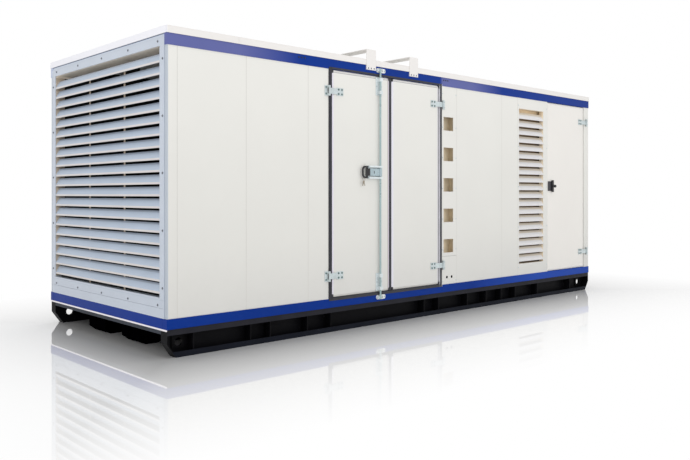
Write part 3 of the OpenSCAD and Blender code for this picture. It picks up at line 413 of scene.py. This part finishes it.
def lathe(bm, at, axis, profile, seg, turn=0.0):
    """Turned solid: profile holds (radius, height) pairs in mm along the axis from at."""
    tilt = Vector((0, 0, 1)).rotation_difference(Vector(axis).normalized())
    angles = [turn + 2 * math.pi * i / seg for i in range(seg)]
    rings = []
    for r, h in profile:
        if r == 0:
            rings.append([bm.verts.new(at + tilt @ mm(0, 0, h))])
        else:
            rings.append([bm.verts.new(at + tilt @ mm(r * math.cos(a), r * math.sin(a), h)) for a in angles])
    for a, b in zip(rings, rings[1:]):
        for i in range(seg):
            j = (i + 1) % seg
            if len(b) == 1:
                bm.faces.new((a[i], a[j], b[0]))
            else:
                bm.faces.new((a[i], a[j], b[j], b[i]))
    bm.faces.new(list(reversed(rings[0])))
    if len(rings[-1]) > 1:
        bm.faces.new(rings[-1])


WASHER_SINK = 0.4


def screw(bm, at, axis, r):
    """Pan head on a washer, with a small drive recess."""
    lathe(bm, at, axis, [(r * 1.35, -WASHER_SINK), (r * 1.35, r * 0.16), (r * 1.1, r * 0.24)], 20)
    lathe(bm, at, axis, [(r * 0.95, r * 0.2), (r * 0.95, r * 0.5), (r * 0.75, r * 0.72), (r * 0.36, r * 0.8),
                         (r * 0.30, r * 0.5), (0, r * 0.5)], 20)


def bolt(bm, at, r, turn):
    """Hexagon head on a washer, on the front side, turned by turn radians."""
    lathe(bm, at, OUT[front], [(r * 1.5, -WASHER_SINK), (r * 1.5, r * 0.22), (r * 1.35, r * 0.3)], 24)
    lathe(bm, at, OUT[front], [(r, r * 0.25), (r, r * 0.85), (r * 0.88, r * 0.98), (0, r * 0.98)], 6, turn)


def box(bm, lo, hi, chamfer=0):
    """Box between two places, with its edges rounded off by chamfer mm."""
    lo, hi = Vector(map(min, lo, hi)), Vector(map(max, lo, hi))
    new = bmesh.ops.create_cube(bm, size=1)["verts"]
    bmesh.ops.transform(bm, matrix=Matrix.LocRotScale((lo + hi) / 2, None, hi - lo), verts=new)
    if chamfer:
        edges = {e for v in new for e in v.link_edges}
        bmesh.ops.bevel(bm, geom=list(edges), offset=chamfer / 1000, segments=2, affect="EDGES", profile=0.6)


def ring(bm, centre, normal, r, wire, seg=28, sides=8):
    """Closed wire ring round the normal, r and wire in mm."""
    tilt = Vector((0, 0, 1)).rotation_difference(Vector(normal).normalized())
    loops = []
    for i in range(seg):
        a = 2 * math.pi * i / seg
        c = Vector((math.cos(a), math.sin(a), 0))
        loop = []
        for j in range(sides):
            b = 2 * math.pi * j / sides
            around = c * (r + wire * math.cos(b)) + Vector((0, 0, wire * math.sin(b)))
            loop.append(bm.verts.new(centre + tilt @ around / 1000))
        loops.append(loop)
    for i in range(seg):
        for j in range(sides):
            a, b = loops[i], loops[(i + 1) % seg]
            bm.faces.new((a[j], b[j], b[(j + 1) % sides], a[(j + 1) % sides]))


def piece(name, body, look, bm, smooth=False):
    bmesh.ops.recalc_face_normals(bm, faces=bm.faces)
    mesh = bpy.data.meshes.new(name)
    bm.to_mesh(mesh)
    bm.free()
    mesh.materials.append(LOOKS[look])
    if smooth:
        for p in mesh.polygons:
            p.use_smooth = True
    o = bpy.data.objects.new(name, mesh)
    bpy.context.scene.collection.objects.link(o)
    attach(o, body)


# ---- louvred end: flange screws, and a painted shadow line under the flashing over the head ---
FLANGE_FACE = -5
FLANGE_SCREW, WALL_SCREW, SPLICE_SCREW = 8, 6, 6.5
FLANGE_SIDES, FLANGE_ROW = (64, WIDTH - 64), (572, 1044, 1517, 1985, 2455)
FLANGE_LINES, FLANGE_FROM, FLANGE_PITCH = (2606, 426), 144, 528
UNDER_FLASHING_SHADOW_Z = (2654.5, 2659.5)

bm = bmesh.new()
for e in FLANGE_SIDES:
    for z in FLANGE_ROW:
        screw(bm, louvred_end(e, FLANGE_FACE, z), OUT[louvred_end], FLANGE_SCREW)
for i in range(5):
    for z in FLANGE_LINES:
        screw(bm, louvred_end(FLANGE_FROM + i * FLANGE_PITCH, FLANGE_FACE, z), OUT[louvred_end], FLANGE_SCREW)
piece("end_flange_screws", "enclosure", "screw", bm)

# painted shadow: a thin strip under the flashing's edge, across the louvred end
bm = bmesh.new()
box(bm, louvred_end(40, 0.5, UNDER_FLASHING_SHADOW_Z[0]), louvred_end(WIDTH - 40, -0.8, UNDER_FLASHING_SHADOW_Z[1]))
piece("end_flashing_painted_shadow", "enclosure", "painted_shadow_line", bm)

# ---- long walls: screws, sealed joints and sound baffles ----------------------------------
SEAL_HALF = 2.6
SHARED_JOINTS = (94, 782, 1495, 3721, 4598, 4937)
PANEL_JOINTS = {front: SHARED_JOINTS, back: SHARED_JOINTS + (3455, 5616)}
SPLICES, SPLICE_PITCH, SPLICE_FACE, SPLICE_Z = (1414, 3520), 36, -5, 2630
HOOP_SCREWS, HOOP_FACE, HOOP_SCREW_Z = (26, 67, 108), -16, 2629
COVER_SCREWS, COVER_ENDS, BELOW_WINDOW = (3468, 3708), (2480, 360), 40
COLUMN_SCREWS, COLUMN_ROW = (4953, 5601), (420, 930, 1440, 1950, 2470)
BAFFLE_S, BAFFLE_Z, BAFFLE_T = (4948, 5590), (452, 2468), 4

for wall, tag in ((front, "front"), (back, "back")):
    bm = bmesh.new()
    if wall is front:
        for i in range(WINDOWS):
            for s in COVER_SCREWS:
                screw(bm, wall(s, 0, WINDOW_Z - BELOW_WINDOW + i * WINDOW_PITCH), OUT[wall], WALL_SCREW)
        for s in COVER_SCREWS:
            for z in COVER_ENDS:
                screw(bm, wall(s, 0, z), OUT[wall], WALL_SCREW)
    for s in COLUMN_SCREWS:
        for z in COLUMN_ROW:
            screw(bm, wall(s, 0, z), OUT[wall], WALL_SCREW)
    piece(f"{tag}_panel_screws", "enclosure", "zinc", bm)

    bm = bmesh.new()
    for splice in SPLICES:
        for ds in (-SPLICE_PITCH, 0, SPLICE_PITCH):
            screw(bm, wall(splice + ds, SPLICE_FACE, SPLICE_Z), OUT[wall], SPLICE_SCREW)
    piece(f"{tag}_splice_screws", "enclosure", "black", bm)

    bm = bmesh.new()
    for s in HOOPS:
        for ds in HOOP_SCREWS:
            screw(bm, wall(s + ds, HOOP_FACE, HOOP_SCREW_Z), OUT[wall], WALL_SCREW)
    piece(f"{tag}_hoop_screws", "enclosure", "screw", bm)

    bm = bmesh.new()
    for s in PANEL_JOINTS[wall]:
        box(bm, wall(s - SEAL_HALF, 0.9, PANEL_Z[0]), wall(s + SEAL_HALF, -0.3, PANEL_Z[1]))
    piece(f"{tag}_joint_sealant", "enclosure", "seam", bm)

    # a tray behind the side louvre, clear of the air slots
    bm = bmesh.new()
    (s0, s1), (z0, z1) = BAFFLE_S, BAFFLE_Z
    box(bm, wall(s0, 104, z0), wall(s1, 108, z1))
    for s in (s0, s1 - BAFFLE_T):
        box(bm, wall(s, 59, z0), wall(s + BAFFLE_T, 106, z1))
    for z in (z0, z1 - BAFFLE_T):
        box(bm, wall(s0, 59, z), wall(s1, 106, z + BAFFLE_T))
    piece(f"{tag}_louvre_baffle", "enclosure", "baffle", bm)

# ---- far end: sealed joints and screws -------------------------------------------------------
FAR_JOINTS = (820, 1580)
FAR_COLUMNS, FAR_ROW = (100, 780, 860, 1540, 1620, 2300), (380, 900, 1440, 1980, 2510)
bm = bmesh.new()
for e in FAR_JOINTS:
    box(bm, far_end(e - SEAL_HALF, 0.9, PANEL_Z[0]), far_end(e + SEAL_HALF, -0.5, PANEL_Z[1]))
piece("far_end_sealant", "enclosure", "seam", bm)
bm = bmesh.new()
for e in FAR_COLUMNS:
    for z in FAR_ROW:
        screw(bm, far_end(e, 0, z), OUT[far_end], WALL_SCREW)
piece("far_end_screws", "enclosure", "zinc", bm)

# ---- roof: screws through the flashing, and strips over the panel joints -------------------------
UP = (0, 0, 1)
LONG_SCREWS, LONG_FROM, LONG_REACH = 24, 132.5, 6400
SHORT_SCREWS, SHORT_FROM, SHORT_PITCH = 8, 220, 280
ROOF_PANELS, STRIP_HALF = 5, 12
bm = bmesh.new()
for d in (35, WIDTH - 35):
    for i in range(LONG_SCREWS):
        screw(bm, front(LONG_FROM + i * LONG_REACH / (LONG_SCREWS - 1), d, ROOF_TOP), UP, WALL_SCREW)
for s in (42.5, LENGTH - 42.5):
    for i in range(SHORT_SCREWS):
        screw(bm, front(s, SHORT_FROM + i * SHORT_PITCH, ROOF_TOP), UP, WALL_SCREW)
piece("roof_screws", "enclosure", "zinc", bm)
bm = bmesh.new()
for i in range(1, ROOF_PANELS):
    s = i * LENGTH / ROOF_PANELS
    box(bm, front(s - STRIP_HALF, 95, ROOF_TOP - 3.2), front(s + STRIP_HALF, WIDTH - 95, ROOF_TOP - 0.5), 0.8)
piece("roof_joint_strips", "enclosure", "trim", bm)

# ---- window strip: pressed rims ---------------------------------------------------------------
RIM_S, RIM_Z, RIM_HALF = 86.5, 77.5, 1.5
bm = bmesh.new()
for i in range(WINDOWS):
    z = WINDOW_Z + WINDOW_PITCH * i
    for way in (-1, 1):
        edge_z, edge_s = z + way * RIM_Z, WINDOW_S + way * RIM_S
        box(bm, front(WINDOW_S - RIM_S - RIM_HALF, 0.5, edge_z - RIM_HALF),
            front(WINDOW_S + RIM_S + RIM_HALF, -1.2, edge_z + RIM_HALF), 0.5)
        box(bm, front(edge_s - RIM_HALF, 0.5, z - RIM_Z - RIM_HALF),
            front(edge_s + RIM_HALF, -1.2, z + RIM_Z + RIM_HALF), 0.5)
piece("window_rims", "enclosure", "trim", bm)

# ---- doors: rubber corners, hinge bolts ----------------------------------------------------------
for side, leaf in (("left", LEFT_LEAF), ("right", RIGHT_LEAF)):
    bm = bmesh.new()
    for s, a in zip(leaf, (1, -1)):
        for z, b in zip(LEAF_Z, (1, -1)):
            box(bm, front(s - a * 1.5, -1.5, z - b * 2), front(s + a * 19, 12, z + b * 28), 3)
    piece(f"{side}_leaf_corners", f"{side}_door", "rubber", bm)

PLATE_FACE = -6
HINGED = (("left", LEFT_LEAF[0], 1), ("right", RIGHT_LEAF[1], -1), ("control", CONTROL_EDGE, -1))
for side, edge, way in HINGED:
    bm = bmesh.new()
    for z in HINGE_Z:
        for s in (edge + way * 84, edge + way * 128):
            for dz in (-22, 22):
                bolt(bm, front(s, PLATE_FACE, z + dz), 7, z + s)
    piece(f"{side}_strap_bolts", f"{side}_door", "dark_zinc", bm)
bm = bmesh.new()
for side, edge, way in HINGED:
    for z in HINGE_Z:
        for dz in (-32, 32):
            bolt(bm, front(edge - way * (PIN_GAP + 30), PLATE_FACE, z + dz), 6.5, z)
piece("frame_plate_bolts", "enclosure", "dark_zinc", bm)

# ---- lock: bolts of keepers, guides and case, the lever's pad, a black block in the key slot as painted shade, the keys ---
KEEPER_Z, KEEPER_FACE, GUIDE_Z = (280, 2621.6), -11, (439, 2457)
bm = bmesh.new()
for z in KEEPER_Z:
    for s in (ROD - 30, ROD + 76):
        bolt(bm, front(s, KEEPER_FACE, z), 8, s)
piece("keeper_bolts", "enclosure", "zinc", bm)

bm = bmesh.new()
for z in GUIDE_Z:
    for ds in (-33, 33):
        bolt(bm, front(ROD + ds, PLATE_FACE, z), 7, ds)
for s in (ROD - 168, ROD - 7):
    for dz in (-36, 36):
        bolt(bm, front(s, PLATE_FACE, LOCK_Z + dz), 5, dz)
piece("lock_fixings", "left_door", "zinc", bm)

LEVER_END, LEVER_FACE, LEVER_HALF = ROD - 185, -29, 37
KEY_SLOT, KEY_SLOT_HALF, SLOT_GRIP = (ROD - 97, ROD - 87), 13, 0.5
bm = bmesh.new()
box(bm, front(LEVER_END, LEVER_FACE - 4, LOCK_Z - LEVER_HALF),
    front(LEVER_END + 32, LEVER_FACE + 0.5, LOCK_Z + LEVER_HALF), 3)
# painted shade: a black block just behind the lever's face in the key slot stands for the slot's dark inside
box(bm, front(KEY_SLOT[0] - SLOT_GRIP, LEVER_FACE + 0.8, LOCK_Z - KEY_SLOT_HALF - SLOT_GRIP),
    front(KEY_SLOT[1] + SLOT_GRIP, LEVER_FACE + 5, LOCK_Z + KEY_SLOT_HALF + SLOT_GRIP))
piece("lever_pad", "lock_bar", "black", bm)

RING_TOP = front(ROD - 239, -26, LOCK_Z - 62)
bm = bmesh.new()
ring(bm, RING_TOP + mm(0, 0, -11), (1, 0, 0.15), 15.5, 1.2)
piece("key_ring", "lock_bar", "brass", bm, smooth=True)


def key(lean, at):
    """A flat key with a round head and four teeth, hung from at."""
    kb = bmesh.new()
    lathe(kb, mm(0, -1, -12), (0, 1, 0), [(12, 0), (12, 2)], 20)
    box(kb, mm(-3.5, -1, -55), mm(3.5, 1, -18), 0.4)
    for k in range(4):
        box(kb, mm(3, -1, -53 + k * 8), mm(6, 1, -49 + k * 8), 0.2)
    bmesh.ops.transform(kb, matrix=Matrix.Translation(at) @ Matrix.Rotation(lean, 4, "Y"), verts=kb.verts)
    mesh = bpy.data.meshes.new("key")
    kb.to_mesh(mesh)
    kb.free()
    return mesh


bm = bmesh.new()
for lean, dy in ((-0.35, 4), (0.42, -5)):
    mesh = key(lean, RING_TOP + mm(0, dy, -26))
    bm.from_mesh(mesh)
    bpy.data.meshes.remove(mesh)
piece("keys", "lock_bar", "brass", bm)

# ---- floor: glossy white near the set, plain white away from it ---------------------------------------
FLOOR_HALF = 40
mesh = bpy.data.meshes.new("floor")
mesh.from_pydata([(-FLOOR_HALF, -FLOOR_HALF, 0), (FLOOR_HALF, -FLOOR_HALF, 0),
                  (FLOOR_HALF, FLOOR_HALF, 0), (-FLOOR_HALF, FLOOR_HALF, 0)], [], [(0, 1, 2, 3)])
floor = bpy.data.objects.new("floor", mesh)
bpy.context.scene.collection.objects.link(floor)
paint = bpy.data.materials.new("gloss_floor")
paint.use_nodes = True
t = paint.node_tree
t.nodes.clear()
axes = node(t, "SeparateXYZ", Vector=node(t, "TexCoord").outputs["Object"]).outputs
away = calc(t, "MAXIMUM", calc(t, "SUBTRACT", calc(t, "ABSOLUTE", axes[0]), LENGTH / 2000),
            calc(t, "SUBTRACT", calc(t, "ABSOLUTE", axes[1]), WIDTH / 2000))
near_gloss = spread(t, away, From_Min=0.0, From_Max=2.0, To_Min=0.64, To_Max=0.52)
far_white = spread(t, away, From_Min=0.1, From_Max=2.2)


def blend(share, first, second):
    made = node(t, "MixShader")
    for socket, value in zip(made.inputs, (share, first.outputs[0], second.outputs[0])):
        put(t, socket, value)
    return made


near = blend(near_gloss, node(t, "BsdfDiffuse", Color=(1, 1, 1, 1)), node(t, "BsdfGlossy", Roughness=0.02))
node(t, "OutputMaterial", Surface=blend(far_white, near, node(t, "Emission")).outputs[0])
mesh.materials.append(paint)

# ---- light and camera ------------------------------------------------------------------------------------
scene = bpy.context.scene
scene.view_settings.view_transform = "Standard"
scene.view_settings.look = "None"

# the studio is white to the camera and in reflections, and dimmer as light
world = bpy.data.worlds.new("studio")
world.use_nodes = True
t = world.node_tree
rays = node(t, "LightPath").outputs
seen = calc(t, "MAXIMUM", rays["Is Camera Ray"], rays["Is Glossy Ray"])
background = t.nodes["Background"].inputs
put(t, background["Color"], (1, 1, 1, 1))
put(t, background["Strength"], spread(t, seen, To_Min=0.62, To_Max=1.0))
scene.world = world


def lamp(name, at, to, size, watts):
    light = bpy.data.lights.new(name, "AREA")
    light.shape = "DISK"
    light.size = size
    light.energy = watts
    made = bpy.data.objects.new(name, light)
    made.location = at
    made.rotation_euler = (Vector(to) - Vector(at)).to_track_quat("-Z", "Y").to_euler()
    made.visible_camera = False
    made.visible_glossy = False
    scene.collection.objects.link(made)


lamp("key", (-1.0, -10.5, 5.0), (0, -1, 1.3), 9, 275)
lamp("top", (0, 0, 9), (0, 0, 0), 9, 420)
lamp("left", (-9, -2, 4.0), (-3, 0, 1.3), 5, 100)

CAMERA_AT, CAMERA_WAY = (-6.395, -6.644, 1.340), (0.6789, 0.7343, 0)
LENS, SENSOR, SHIFT = 38.997, 36, -0.0514
cam_data = bpy.data.cameras.new("photo_camera")
cam_data.sensor_width = SENSOR
cam_data.lens = LENS
cam_data.shift_y = SHIFT
cam_data.clip_end = 200
cam = bpy.data.objects.new("photo_camera", cam_data)
cam.location = CAMERA_AT
cam.rotation_euler = Vector(CAMERA_WAY).to_track_quat("-Z", "Y").to_euler()
scene.collection.objects.link(cam)
scene.camera = cam
